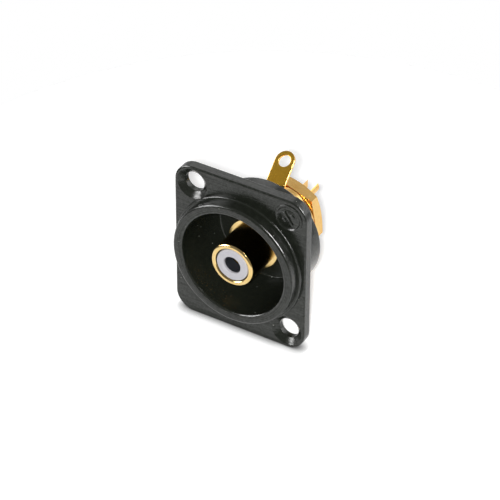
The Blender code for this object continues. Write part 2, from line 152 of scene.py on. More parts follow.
# Mark of a round mould insert, in the flange's upper right corner.
MARK_RADIUS = 2.7 * MM
MARK_RIM_WIDTH = 0.42 * MM
MARK_RIM_HEIGHT = 0.16 * MM
MARK_RIM_ROUND = 0.08 * MM
MARK_GROOVE_INSET = 0.7 * MM
MARK_GROOVE_DEPTH = 0.1 * MM
MARK_GROOVE_ROUND = 0.05 * MM
MARK_PAD_INSET = 0.95 * MM
MARK_PAD_HEIGHT = 0.02 * MM
MARK_ROOT = 0.3 * MM
MARK_BAR_SIZE = (0.5 * MM, 2.9 * MM, 0.5 * MM)
MARK_BAR_ROUND = 0.1 * MM
MARK_PIP_RADIUS = 0.42 * MM
MARK_PIP_HEIGHT = 0.2 * MM
MARK_PIP_ROUND = 0.12 * MM
MARK_PIP_OFFSET = 0.95 * MM
MARK_TURN = math.radians(35.0)

# Roundings of the turned, stamped and machined pieces.
JACK_RIM_ROUND = 0.42 * MM
JACK_BORE_ROUND = 0.3 * MM
SHOULDER_EDGE_ROUND = 0.2 * MM
SHOULDER_REAR_ROUND = 0.1 * MM
BORE_END_CHAMFER = 0.1 * MM
PIN_HOLE_ROUND = 0.14 * MM
INSULATOR_EDGE_ROUND = 0.2 * MM
INSULATOR_REAR_ROUND = 0.05 * MM
PLUG_EDGE_ROUND = 0.12 * MM
CONTACT_TIP_ROUND = 0.12 * MM
CONTACT_FLANGE_ROUND = 0.1 * MM
TAIL_END_ROUND = 0.12 * MM
TAIL_CUP_ROUND = 0.08 * MM
TAIL_CUP_FLOOR_ROUND = 0.1 * MM
TAG_EDGE_ROUND = 0.07 * MM
WASHER_EDGE_ROUND = 0.14 * MM
WASHER_BORE_ROUND = 0.1 * MM
NUT_BORE_CHAMFER = 0.25 * MM
NUT_CONE_MARGIN = 0.15 * MM

# Painted shade in the front insulator's bore: deeper than this, its faces take a dark material that stands in
# for the shade there.
DEPTH_OF_PAINTED_BORE_SHADE = 0.5 * MM
FACE_MARGIN = 0.05 * MM

# Thread on the shell, which fades out at both ends.
THREAD_PITCH = 0.79 * MM
THREAD_DEPTH = 0.42 * MM
THREAD_START = 0.4 * MM
THREAD_RUN_IN = 0.6 * MM
THREAD_RUN_OUT = 0.45 * MM
THREAD_ROWS = 120

# Facets.
HOUSING_STEPS = 144
JACK_STEPS = 128
TURNED_STEPS = 96
CONTACT_STEPS = 72
HOLE_STEPS = 64
PIP_STEPS = 24
FLANGE_CORNER_STEPS = 14
TAG_RING_STEPS = 84
LUG_END_STEPS = 32
LUG_HOLE_STEPS = 48
BEND_STEPS = 14

# Heights along the socket's axis, forward positive, all from the panel face.
STEP_FRONT = FLANGE_THICKNESS + STEP_HEIGHT
COLLAR_FRONT = FLANGE_THICKNESS + COLLAR_HEIGHT
RECESS_FLOOR = COLLAR_FRONT - RECESS_DEPTH
CUP_BACK = RECESS_FLOOR - CUP_FLOOR
BOSS_BACK = CUP_BACK - BOSS_LENGTH
TAG_FRONT = BOSS_BACK - SEAT_GAP
WASHER_FRONT = TAG_FRONT - TAG_THICKNESS - WASHER_BEHIND_TAG
WASHER_BACK = WASHER_FRONT - WASHER_THICKNESS
NUT_FRONT = WASHER_BACK - NUT_BEHIND_WASHER
NUT_BACK = NUT_FRONT - NUT_THICKNESS
SHELL_BACK = NUT_BACK - THREAD_BEYOND_NUT
SHOULDER_BACK = RECESS_FLOOR + SEAT_GAP
SHOULDER_FRONT = SHOULDER_BACK + SHOULDER_LENGTH
INSULATOR_FRONT = COLLAR_FRONT - INSULATOR_SET_BACK
CONTACT_FRONT = INSULATOR_FRONT - INSULATOR_LIP - CONTACT_BEHIND_LIP
CONTACT_BORE_BACK = CONTACT_FRONT - CONTACT_TUBE_LENGTH
CONTACT_FLANGE_FRONT = CONTACT_BORE_BACK - CONTACT_SOLID_LENGTH
CONTACT_FLANGE_BACK = CONTACT_FLANGE_FRONT - CONTACT_FLANGE_THICKNESS
TAIL_BACK = SHELL_BACK - TAIL_BEYOND_SHELL

# Radii of the housing, inwards from the flange's sides.
STEP_RADIUS = FLANGE_WIDTH / 2 - STEP_SIDE_MARGIN
COLLAR_RADIUS = STEP_RADIUS - STEP_LEDGE
RECESS_MOUTH_RADIUS = COLLAR_RADIUS - COLLAR_WALL
RECESS_FLOOR_RADIUS = RECESS_MOUTH_RADIUS - RECESS_TAPER

# Radii of the turned pieces, outwards and inwards from the jack.
JACK_BORE_RADIUS = JACK_RADIUS - JACK_WALL
SHOULDER_RADIUS = JACK_RADIUS + SHOULDER_RISE
THREAD_RADIUS = SHOULDER_RADIUS - SHOULDER_SEAT
CLEAR_HOLE_RADIUS = THREAD_RADIUS + FIT_GAP
BOSS_RADIUS = CLEAR_HOLE_RADIUS + BOSS_WALL
TAG_RING_RADIUS = CLEAR_HOLE_RADIUS + TAG_RING_WIDTH
WASHER_RADIUS = CLEAR_HOLE_RADIUS + WASHER_RING_WIDTH
NUT_FLAT_RADIUS = CLEAR_HOLE_RADIUS + NUT_WALL
INSULATOR_RADIUS = JACK_BORE_RADIUS - FIT_GAP
CONTACT_RADIUS = CONTACT_BORE_RADIUS + CONTACT_WALL

# Screw holes, on one diagonal. The mark takes the corner to the right.
SCREW_X = FLANGE_WIDTH / 2 - SCREW_EDGE_DISTANCE
SCREW_Y = FLANGE_HEIGHT / 2 - SCREW_EDGE_DISTANCE

# The photograph's view, with the aim measured from the middle of the flange's front.
CAMERA_AZIMUTH = math.radians(30.904)
CAMERA_ELEVATION = math.radians(37.005)
CAMERA_ROLL = math.radians(0.363)
CAMERA_DISTANCE = 429.04 * MM
CAMERA_LENS = 180.1
CAMERA_FILM_WIDTH = 36.0
AIM_RIGHT = 1.792 * MM
AIM_UP = 1.337 * MM

# Table under the socket.
TABLE_RADIUS = 80.0 * MM
TABLE_SET_BACK = 10.0 * MM
# How far the painted contact shadow reaches on the table.
CONTACT_SHADOW_REACH = 1.7 * MM

WHITE = (1.0, 1.0, 1.0, 1.0)


def linear(code):
    """An sRGB hex colour as linear RGBA."""
    channels = []
    for start in (1, 3, 5):
        value = int(code[start : start + 2], 16) / 255
        channels.append(value / 12.92 if value <= 0.04045 else ((value + 0.055) / 1.055) ** 2.4)
    return (*channels, 1.0)


def add_node(tree, kind, settings=None, inputs=None):
    """Add a node with its settings. An input is a value or another node's socket."""
    node = tree.nodes.new(kind)
    for name, value in (settings or {}).items():
        setattr(node, name, value)
    for name, value in (inputs or {}).items():
        if isinstance(value, bpy.types.NodeSocket):
            tree.links.new(value, node.inputs[name])
        else:
            node.inputs[name].default_value = value
    return node


def new_finish(name):
    """An empty material with its tree and its Principled shader."""
    material = bpy.data.materials.new(name)
    material.use_nodes = True
    tree = material.node_tree
    return material, tree, tree.nodes["Principled BSDF"]


def distance_from_axis(tree, place):
    """How far a point is from the socket's axis, which turning and round inserts mark in rings."""
    across = add_node(tree, "ShaderNodeVectorMath", {"operation": "MULTIPLY"}, {0: place, 1: (1.0, 0.0, 1.0)})
    radius = add_node(tree, "ShaderNodeVectorMath", {"operation": "LENGTH"}, {0: across.outputs["Vector"]})
    return radius.outputs["Value"]


def clouded_colour(tree, place, pale, deep, size, detail):
    """Two shades of a finish, mixed in clouds of a real size. It gives the clouds and the colour."""
    cloud = add_node(
        tree,
        "ShaderNodeTexNoise",
        inputs={"Vector": place, "Scale": 1 / size, "Detail": detail},
    )
    colour = add_node(
        tree,
        "ShaderNodeMix",
        {"data_type": "RGBA"},
        {"Factor": cloud.outputs["Fac"], "A": linear(deep), "B": linear(pale)},
    )
    return cloud.outputs["Fac"], colour.outputs["Result"]


def dusty(tree, place, colour):
    """The colour with grey specks. Real dust is finer; each speck is 0.2 mm wide, so that it shows."""
    cells = add_node(tree, "ShaderNodeTexVoronoi", inputs={"Vector": place, "Scale": 1 / (2.0 * MM)})
    speck = add_node(
        tree,
        "ShaderNodeMapRange",
        inputs={
            "Value": cells.outputs["Distance"],
            "From Min": 0.035,
            "From Max": 0.06,
            "To Min": 0.8,
            "To Max": 0.0,
        },
    )
    mix = add_node(
        tree,
        "ShaderNodeMix",
        {"data_type": "RGBA"},
        {"Factor": speck.outputs["Result"], "A": colour, "B": linear("#7c7e78")},
    )
    return mix.outputs["Result"]


def insert_sheen(tree, place, flow):
    """Patchy sheen: streaks on the flange, and rings on the collar and recess, from a turned insert."""
    radius = distance_from_axis(tree, place)
    rings = add_node(
        tree,
        "ShaderNodeTexNoise",
        {"noise_dimensions": "1D"},
        {"W": radius, "Scale": 1 / (0.3 * MM), "Detail": 2.0},
    )
    on_insert = add_node(
        tree,
        "ShaderNodeMapRange",
        inputs={
            "Value": radius,
            "From Min": STEP_RADIUS - 0.1 * MM,
            "From Max": STEP_RADIUS + 0.1 * MM,
            "To Min": 1.0,
            "To Max": 0.0,
        },
    )
    drawn = add_node(
        tree,
        "ShaderNodeMix",
        {"data_type": "FLOAT"},
        {"Factor": on_insert.outputs["Result"], "A": flow, "B": rings.outputs["Fac"]},
    )
    patches = add_node(
        tree,
        "ShaderNodeTexNoise",
        inputs={"Vector": place, "Scale": 1 / (0.5 * MM), "Detail": 4.0},
    )
    both = add_node(
        tree,
        "ShaderNodeMath",
        {"operation": "ADD"},
        {0: patches.outputs["Fac"], 1: drawn.outputs["Result"]},
    )
    shine = add_node(
        tree,
        "ShaderNodeMapRange",
        inputs={
            "Value": both.outputs["Value"],
            "From Min": 0.7,
            "From Max": 1.3,
            "To Min": 0.3,
            "To Max": 0.72,
        },
    )
    return shine.outputs["Result"]


def black_nylon():
    """Glass-filled nylon, moulded: near black and half gloss, with flow streaks and a little dust."""
    material, tree, shader = new_finish("black_nylon_moulded")
    place = add_node(tree, "ShaderNodeTexCoord").outputs["Object"]
    mottle, colour = clouded_colour(tree, place, "#1e211b", "#131511", 0.9 * MM, 4.0)
    gloss = add_node(
        tree,
        "ShaderNodeMapRange",
        inputs={"Value": mottle, "From Min": 0.3, "From Max": 0.7, "To Min": 0.17, "To Max": 0.27},
    )
    # The melt ran sideways across the flange, so its streaks are drawn out along X.
    drawn = add_node(tree, "ShaderNodeVectorMath", {"operation": "MULTIPLY"}, {0: place, 1: (0.07, 1.0, 1.0)})
    flow = add_node(
        tree,
        "ShaderNodeTexNoise",
        inputs={"Vector": drawn.outputs["Vector"], "Scale": 1 / (0.3 * MM), "Detail": 2.0},
    )
    grain = add_node(
        tree,
        "ShaderNodeTexNoise",
        inputs={"Vector": place, "Scale": 1 / (0.2 * MM), "Detail": 3.0},
    )
    skin = add_node(
        tree,
        "ShaderNodeBump",
        inputs={"Height": grain.outputs["Fac"], "Strength": 0.6, "Distance": 0.01 * MM},
    )
    streaks = add_node(
        tree,
        "ShaderNodeBump",
        inputs={
            "Height": flow.outputs["Fac"],
            "Strength": 0.6,
            "Distance": 0.045 * MM,
            "Normal": skin.outputs["Normal"],
        },
    )
    tree.links.new(dusty(tree, place, colour), shader.inputs["Base Color"])
    tree.links.new(gloss.outputs["Result"], shader.inputs["Roughness"])
    tree.links.new(insert_sheen(tree, place, flow.outputs["Fac"]), shader.inputs["Specular IOR Level"])
    tree.links.new(streaks.outputs["Normal"], shader.inputs["Normal"])
    shader.inputs["IOR"].default_value = 1.47
    return material


def gold_plate(name, pale, deep, roughness, groove_depth):
    """Gold plate on turned brass: warm and bright, with fine tool marks round the axis."""
    material, tree, shader = new_finish(name)
    place = add_node(tree, "ShaderNodeTexCoord").outputs["Object"]
    along = add_node(tree, "ShaderNodeSeparateXYZ", inputs={"Vector": place})
    turned_place = add_node(
        tree,
        "ShaderNodeCombineXYZ",
        inputs={"X": distance_from_axis(tree, place), "Y": along.outputs["Y"]},
    )
    marks = add_node(
        tree,
        "ShaderNodeTexNoise",
        inputs={"Vector": turned_place.outputs["Vector"], "Scale": 1 / (0.12 * MM), "Detail": 3.0},
    )
    polish = add_node(
        tree,
        "ShaderNodeMapRange",
        inputs={"Value": marks.outputs["Fac"], "To Min": roughness - 0.04, "To Max": roughness + 0.06},
    )
    grooves = add_node(
        tree,
        "ShaderNodeBump",
        inputs={"Height": marks.outputs["Fac"], "Strength": 1.0, "Distance": groove_depth},
    )
    _, colour = clouded_colour(tree, place, pale, deep, 1.3 * MM, 3.0)
    tree.links.new(colour, shader.inputs["Base Color"])
    tree.links.new(polish.outputs["Result"], shader.inputs["Roughness"])
    tree.links.new(grooves.outputs["Normal"], shader.inputs["Normal"])
    shader.inputs["Metallic"].default_value = 1.0
    return material


def gold_sheet():
    """Gold plate on stamped brass sheet: a deeper gold with a faint orange peel."""
    material, tree, shader = new_finish("gold_plate_on_stamped_sheet")
    place = add_node(tree, "ShaderNodeTexCoord").outputs["Object"]
    _, colour = clouded_colour(tree, place, "#eabb48", "#d8a22c", 0.8 * MM, 4.0)
    peel = add_node(
        tree,
        "ShaderNodeTexNoise",
        inputs={"Vector": place, "Scale": 1 / (0.3 * MM), "Detail": 2.0},
    )
    skin = add_node(
        tree,
        "ShaderNodeBump",
        inputs={"Height": peel.outputs["Fac"], "Strength": 1.0, "Distance": 0.01 * MM},
    )
    tree.links.new(colour, shader.inputs["Base Color"])
    tree.links.new(skin.outputs["Normal"], shader.inputs["Normal"])
    shader.inputs["Metallic"].default_value = 1.0
    shader.inputs["Roughness"].default_value = 0.2
    return material


def insulator_plastic(name, pale, shade, roughness):
    """Turned insulator plastic: evenly coloured, with a soft sheen."""
    material, tree, shader = new_finish(name)
    place = add_node(tree, "ShaderNodeTexCoord").outputs["Object"]
    _, colour = clouded_colour(tree, place, pale, shade, 1.1 * MM, 3.0)
    grain = add_node(
        tree,
        "ShaderNodeTexNoise",
        inputs={"Vector": place, "Scale": 1 / (0.14 * MM), "Detail": 2.0},
    )
    skin = add_node(
        tree,
        "ShaderNodeBump",
        inputs={"Height": grain.outputs["Fac"], "Strength": 0.6, "Distance": 0.005 * MM},
    )
    tree.links.new(colour, shader.inputs["Base Color"])
    tree.links.new(skin.outputs["Normal"], shader.inputs["Normal"])
    shader.inputs["Roughness"].default_value = roughness
    shader.inputs["IOR"].default_value = 1.45
    return material


def rounded(corners, steps=5):
    """Points through closed (x, y, radius) corners, with each corner rounded."""
    points = []
    for index, (x, y, radius) in enumerate(corners):
        corner = Vector((x, y))
        if radius <= 0.0:
            points.append(corner)
            continue
        before = (Vector(corners[index - 1][:2]) - corner).normalized()
        after = (Vector(corners[(index + 1) % len(corners)][:2]) - corner).normalized()
        half_angle = before.angle(after) / 2
        centre = corner + (before + after).normalized() * radius / math.sin(half_angle)
        start = corner + before * radius / math.tan(half_angle) - centre
        end = corner + after * radius / math.tan(half_angle) - centre
        sweep = start.angle_signed(end)
        for step in range(steps + 1):
            points.append(centre + Matrix.Rotation(-sweep * step / steps, 2) @ start)
    return points


def arc(radius, start, end, steps, centre=(0.0, 0.0)):
    """Points on an arc from one angle to another."""
    points = []
    for step in range(steps + 1):
        angle = start + (end - start) * step / steps
        points.append(Vector((centre[0] + radius * math.cos(angle), centre[1] + radius * math.sin(angle))))
    return points


def turned(points, steps, closed=True, swell=None):
    """A profile of (radius, height) points turned about Z, as quads.

    swell(radius, height, angle) gives another radius, for a thread.
    """
    form = bmesh.new()
    rings = []
    for radius, height in points:
        if radius < 1e-6 * MM:
            rings.append([form.verts.new((0.0, 0.0, height))])
            continue
        ring = []
        for step in range(steps):
            angle = 2 * math.pi * step / steps
            reach = swell(radius, height, angle) if swell else radius
            ring.append(form.verts.new((reach * math.cos(angle), reach * math.sin(angle), height)))
        rings.append(ring)
    pairs = list(zip(rings, rings[1:]))
    if closed:
        pairs.append((rings[-1], rings[0]))
    for upper, lower in pairs:
        for step in range(steps):
            after = (step + 1) % steps
            if len(upper) == 1 and len(lower) == 1:
                continue
            if len(upper) == 1:
                form.faces.new((upper[0], lower[step], lower[after]))
            elif len(lower) == 1:
                form.faces.new((upper[step], lower[0], upper[after]))
            else:
                form.faces.new((upper[step], lower[step], lower[after], upper[after]))
    bmesh.ops.recalc_face_normals(form, faces=form.faces)
    return form


def slab(outlines, low, high):
    """A plate between two heights, from closed 2D outlines. The first is the outside."""
    curve = bpy.data.curves.new("outline", "CURVE")
    curve.dimensions = "2D"
    curve.fill_mode = "BOTH"
    curve.extrude = (high - low) / 2
    for outline in outlines:
        spline = curve.splines.new("POLY")
        spline.points.add(len(outline) - 1)
        for point, position in zip(spline.points, outline):
            point.co = (position[0], position[1], 0.0, 1.0)
        spline.use_cyclic_u = True
    source = bpy.data.objects.new("outline", curve)
    bpy.context.scene.collection.objects.link(source)
    mesh = bpy.data.meshes.new_from_object(source.evaluated_get(bpy.context.evaluated_depsgraph_get()))
    form = bmesh.new()
    form.from_mesh(mesh)
    bmesh.ops.remove_doubles(form, verts=form.verts, dist=0.001 * MM)
    bmesh.ops.recalc_face_normals(form, faces=form.faces)
    bmesh.ops.translate(form, vec=(0.0, 0.0, (low + high) / 2), verts=form.verts)
    bpy.data.objects.remove(source)
    bpy.data.meshes.remove(mesh)
    return form


def merge_flat_faces(form):
    """Join the triangles of flat faces into one face each."""
    bmesh.ops.dissolve_limit(
        form,
        angle_limit=math.radians(0.5),
        use_dissolve_boundaries=False,
        verts=form.verts,
        edges=form.edges,
    )


def round_rims(form, radius, segments, sharper_than=60.0):
    """Round every edge that turns by more than an angle in degrees."""
    rims = [edge for edge in form.edges if edge.calc_face_angle(0.0) > math.radians(sharper_than)]
    bmesh.ops.bevel(form, geom=rims, offset=radius, segments=segments, profile=0.5, affect="EDGES")


def box(size, centre):
    """A box, for a cut or a small raised form."""
    form = bmesh.new()
    bmesh.ops.create_cube(form, size=1.0, matrix=Matrix.Translation(centre) @ Matrix.Diagonal((*size, 1.0)))
    return form


def as_object(name, form):
    """A plain object with this mesh."""
    mesh = bpy.data.meshes.new(name)
    form.to_mesh(mesh)
    form.free()
    obj = bpy.data.objects.new(name, mesh)
    bpy.context.scene.collection.objects.link(obj)
    return obj


def carve(body, operations):
    """Add, cut and trim by (operation, form) pairs, and leave one plain mesh."""
    tools = []
    for operation, form in operations:
        tool = as_object("tool", form)
        tools.append(tool)
        modifier = body.modifiers.new("carve", "BOOLEAN")
        modifier.operation = operation
        modifier.solver = "EXACT"
        modifier.object = tool
    mesh = bpy.data.meshes.new_from_object(body.evaluated_get(bpy.context.evaluated_depsgraph_get()))
    body.modifiers.clear()
    body.data = mesh
    for tool in tools:
        bpy.data.objects.remove(tool)


def finish_piece(obj, material, node, sharp=32.0):
    """Turn a piece to the row frame, shade it and let it stand for its node."""
    obj.data.transform(TO_ROW_FRAME)
    obj.data.shade_smooth()
    obj.data.set_sharp_from_angle(angle=math.radians(sharp))
    obj.data.materials.append(material)
    normals = obj.modifiers.new("flat faces stay flat", "WEIGHTED_NORMAL")
    normals.keep_sharp = True
    normals.weight = 80
    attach(obj, "root")
    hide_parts(node)


def rounded_rectangle(width, height, radius, steps):
    """Outline of a rectangle with round corners."""
    points = []
    for quarter in range(4):
        start = quarter * math.pi / 2
        x = (width / 2 - radius) * (1 if quarter in (0, 3) else -1)
        y = (height / 2 - radius) * (1 if quarter in (0, 1) else -1)
        points += arc(radius, start, start + math.pi / 2, steps, (x, y))
    return points


def screw_hole_tool(x, y):
    """Countersunk hole with soft lips at both faces.

    It stands a little proud of each face, so that a lip meets the face along one clean line.
    """
    front = FLANGE_THICKNESS + LIP_OVERSHOOT
    back = -LIP_OVERSHOOT
    land = FLANGE_THICKNESS - COUNTERSINK_DEPTH
    front_reach = COUNTERSINK_RADIUS + LIP_MARGIN * SCREW_LIP_ROUND * math.tan(SCREW_LIP_TURN / 2)
    back_reach = SCREW_HOLE_RADIUS + LIP_MARGIN * SCREW_HOLE_ROUND
    corners = [
        (0.0, front + CUT_MARGIN, 0.0),
        (front_reach, front + CUT_MARGIN, 0.0),
        (front_reach, front, 0.0),
        (COUNTERSINK_RADIUS, front, SCREW_LIP_ROUND),
        (SCREW_HOLE_RADIUS, land, SCREW_HOLE_ROUND),
        (SCREW_HOLE_RADIUS, back, SCREW_HOLE_ROUND),
        (back_reach, back, 0.0),
        (back_reach, -CUT_MARGIN, 0.0),
        (0.0, -CUT_MARGIN, 0.0),
    ]
    form = turned(rounded(corners, steps=4), HOLE_STEPS, closed=False)
    bmesh.ops.translate(form, vec=(x, y, 0.0), verts=form.verts)
    return form


def collar_and_cup():
    """Collar, tapered recess, cup and rear boss, as one ring."""
    taper = RECESS_TAPER / RECESS_DEPTH
    cup_root = RECESS_FLOOR_RADIUS + CUP_WALL + taper * (COLLAR_ROOT - RECESS_FLOOR)
    cup_end = RECESS_FLOOR_RADIUS + CUP_WALL + taper * (CUP_BACK - RECESS_FLOOR)
    corners = [
        (RECESS_MOUTH_RADIUS, COLLAR_FRONT, RECESS_MOUTH_ROUND),
        (COLLAR_RADIUS, COLLAR_FRONT, COLLAR_EDGE_ROUND),
        (COLLAR_RADIUS, STEP_FRONT, 0.0),
        (STEP_RADIUS, STEP_FRONT, STEP_EDGE_ROUND),
        (STEP_RADIUS, FLANGE_THICKNESS, 0.0),
        (STEP_RADIUS + RING_OVERLAP, FLANGE_THICKNESS, 0.0),
        (STEP_RADIUS + RING_OVERLAP, COLLAR_ROOT, 0.0),
        (cup_root, COLLAR_ROOT, 0.0),
        (cup_end, CUP_BACK, CUP_REAR_ROUND),
        (BOSS_RADIUS, CUP_BACK, BOSS_ROOT_ROUND),
        (BOSS_RADIUS, BOSS_BACK, BOSS_EDGE_ROUND),
        (CLEAR_HOLE_RADIUS, BOSS_BACK, BOSS_HOLE_ROUND),
        (CLEAR_HOLE_RADIUS, RECESS_FLOOR, BOSS_HOLE_ROUND),
        (RECESS_FLOOR_RADIUS, RECESS_FLOOR, RECESS_FLOOR_ROUND),
    ]
    return turned(rounded(corners), HOUSING_STEPS)


def moulding_mark():
    """Plain mark of a round mould insert: a raised ring round a groove, and a bar between two pips."""
    front = FLANGE_THICKNESS
    foot = front - MARK_ROOT
    rim_top = front + MARK_RIM_HEIGHT
    pad_top = front + MARK_PAD_HEIGHT
    corners = [
        (0.0, pad_top, 0.0),
        (MARK_RADIUS - MARK_PAD_INSET, pad_top, 0.0),
        (MARK_RADIUS - MARK_GROOVE_INSET, front - MARK_GROOVE_DEPTH, MARK_GROOVE_ROUND),
        (MARK_RADIUS - MARK_RIM_WIDTH, rim_top, MARK_RIM_ROUND),
        (MARK_RADIUS, rim_top, MARK_RIM_ROUND),
        (MARK_RADIUS, foot, 0.0),
        (0.0, foot, 0.0),
    ]
    forms = [turned(rounded(corners, steps=3), HOLE_STEPS, closed=False)]
    bar = box(MARK_BAR_SIZE, (0.0, 0.0, front))
    round_rims(bar, MARK_BAR_ROUND, 3)
    forms.append(bar)
    pip_corners = [
        (0.0, front + MARK_PIP_HEIGHT, 0.0),
        (MARK_PIP_RADIUS, front + MARK_PIP_HEIGHT, MARK_PIP_ROUND),
        (MARK_PIP_RADIUS, foot, 0.0),
        (0.0, foot, 0.0),
    ]
    for side in (-1, 1):
        pip = turned(rounded(pip_corners, steps=3), PIP_STEPS, closed=False)
        bmesh.ops.translate(pip, vec=(side * MARK_PIP_OFFSET, 0.0, 0.0), verts=pip.verts)
        forms.append(pip)
    for form in forms:
        form.transform(Matrix.Translation((SCREW_X, SCREW_Y, 0.0)) @ Matrix.Rotation(MARK_TURN, 4, "Z"))
    return forms


def housing():
    """The black moulding: flange, stepped collar, recess cup and rear boss."""
    outline = rounded_rectangle(FLANGE_WIDTH, FLANGE_HEIGHT, FLANGE_CORNER_RADIUS, FLANGE_CORNER_STEPS)
    plate = slab([outline], 0.0, FLANGE_THICKNESS)
    merge_flat_faces(plate)
    round_rims(plate, FLANGE_EDGE_ROUND, 4)
    opening_radius = RECESS_MOUTH_RADIUS + OPENING_MARGIN
    opening = [
        (0.0, FLANGE_THICKNESS + CUT_MARGIN),
        (opening_radius, FLANGE_THICKNESS + CUT_MARGIN),
        (opening_radius, -CUT_MARGIN),
        (0.0, -CUT_MARGIN),
    ]
    body = as_object("housing_moulding", plate)
    carve(
        body,
        [
            ("DIFFERENCE", turned(opening, HOUSING_STEPS, closed=False)),
            ("UNION", collar_and_cup()),
            *(("UNION", form) for form in moulding_mark()),
            ("DIFFERENCE", screw_hole_tool(-SCREW_X, SCREW_Y)),
            ("DIFFERENCE", screw_hole_tool(SCREW_X, -SCREW_Y)),
        ],
    )
    finish_piece(body, NYLON, "housing", sharp=28.0)


def thread_radius(radius, height, angle):
    """The thread's crests and roots, fading out towards the shoulder and the end."""
    if abs(radius - THREAD_RADIUS) > 0.0001 * MM:
        return radius
    from_shoulder = (SHOULDER_BACK - THREAD_RUN_IN - height) / THREAD_RUN_IN
    from_end = (height - SHELL_BACK) / THREAD_RUN_OUT
    fade = max(min(1.0, from_shoulder, from_end), 0.0)
    turn = (height / THREAD_PITCH + angle / (2 * math.pi)) % 1.0
    return radius - THREAD_DEPTH * fade * abs(2 * turn - 1)


def jack_shell():
    """Rim, barrel, shoulder and threaded end, turned from one bar."""
    corners = [
        (JACK_BORE_RADIUS, COLLAR_FRONT, JACK_BORE_ROUND),
        (JACK_RADIUS, COLLAR_FRONT, JACK_RIM_ROUND),
        (JACK_RADIUS, SHOULDER_FRONT, 0.0),
        (SHOULDER_RADIUS, SHOULDER_FRONT, SHOULDER_EDGE_ROUND),
        (SHOULDER_RADIUS, SHOULDER_BACK, SHOULDER_REAR_ROUND),
        (THREAD_RADIUS, SHOULDER_BACK, 0.0),
    ]
    top = SHOULDER_BACK - THREAD_START
    bottom = SHELL_BACK + THREAD_END_CHAMFER
    for row in range(THREAD_ROWS + 1):
        corners.append((THREAD_RADIUS, top + (bottom - top) * row / THREAD_ROWS, 0.0))
    corners += [
        (THREAD_RADIUS - THREAD_END_CHAMFER, SHELL_BACK, 0.0),
        (JACK_BORE_RADIUS + BORE_END_CHAMFER, SHELL_BACK, 0.0),
        (JACK_BORE_RADIUS, SHELL_BACK + BORE_END_CHAMFER, 0.0),
    ]
    form = turned(rounded(corners, steps=7), JACK_STEPS, swell=thread_radius)
    finish_piece(as_object("jack_shell_turned", form), GOLD_TURNED, "jack_shell")


def front_insulator():
    """Milky tube that centres the contact in the rim, with painted shade deep in its bore."""
    back = CONTACT_FLANGE_FRONT + SEAT_GAP
    lip_back = INSULATOR_FRONT - INSULATOR_LIP
    painted_shade_start = INSULATOR_FRONT - DEPTH_OF_PAINTED_BORE_SHADE
    tube_bore = CONTACT_RADIUS + FIT_GAP
    corners = [
        (PIN_HOLE_RADIUS, INSULATOR_FRONT, PIN_HOLE_ROUND),
        (INSULATOR_RADIUS, INSULATOR_FRONT, INSULATOR_EDGE_ROUND),
        (INSULATOR_RADIUS, back, INSULATOR_REAR_ROUND),
        (tube_bore, back, 0.0),
        (tube_bore, lip_back, 0.0),
        (PIN_HOLE_RADIUS, lip_back, 0.0),
        (PIN_HOLE_RADIUS, painted_shade_start, 0.0),
    ]
    form = turned(rounded(corners), TURNED_STEPS)
    # The deep faces of the bore take the second material, a dark grey that paints the shade in the pin hole.
    for face in form.faces:
        middle = face.calc_center_median()
        in_painted_shade = middle.xy.length < tube_bore + FACE_MARGIN and back + FACE_MARGIN < middle.z < painted_shade_start
        face.material_index = 1 if in_painted_shade else 0
    obj = as_object("front_insulator_turned", form)
    finish_piece(obj, INSULATOR, "front_insulator")
    obj.data.materials.append(PAINTED_BORE_SHADE)


def rear_insulator():
    """Plug that closes the shell from behind."""
    front = CONTACT_FLANGE_BACK - SEAT_GAP
    tail_hole = TAIL_RADIUS + TAIL_GAP
    corners = [
        (tail_hole, front, 0.0),
        (INSULATOR_RADIUS, front, 0.0),
        (INSULATOR_RADIUS, SHELL_BACK, PLUG_EDGE_ROUND),
        (tail_hole, SHELL_BACK, PLUG_EDGE_ROUND),
    ]
    obj = as_object("rear_insulator_turned", turned(rounded(corners), TURNED_STEPS))
    finish_piece(obj, REAR_INSULATOR, "rear_insulator")


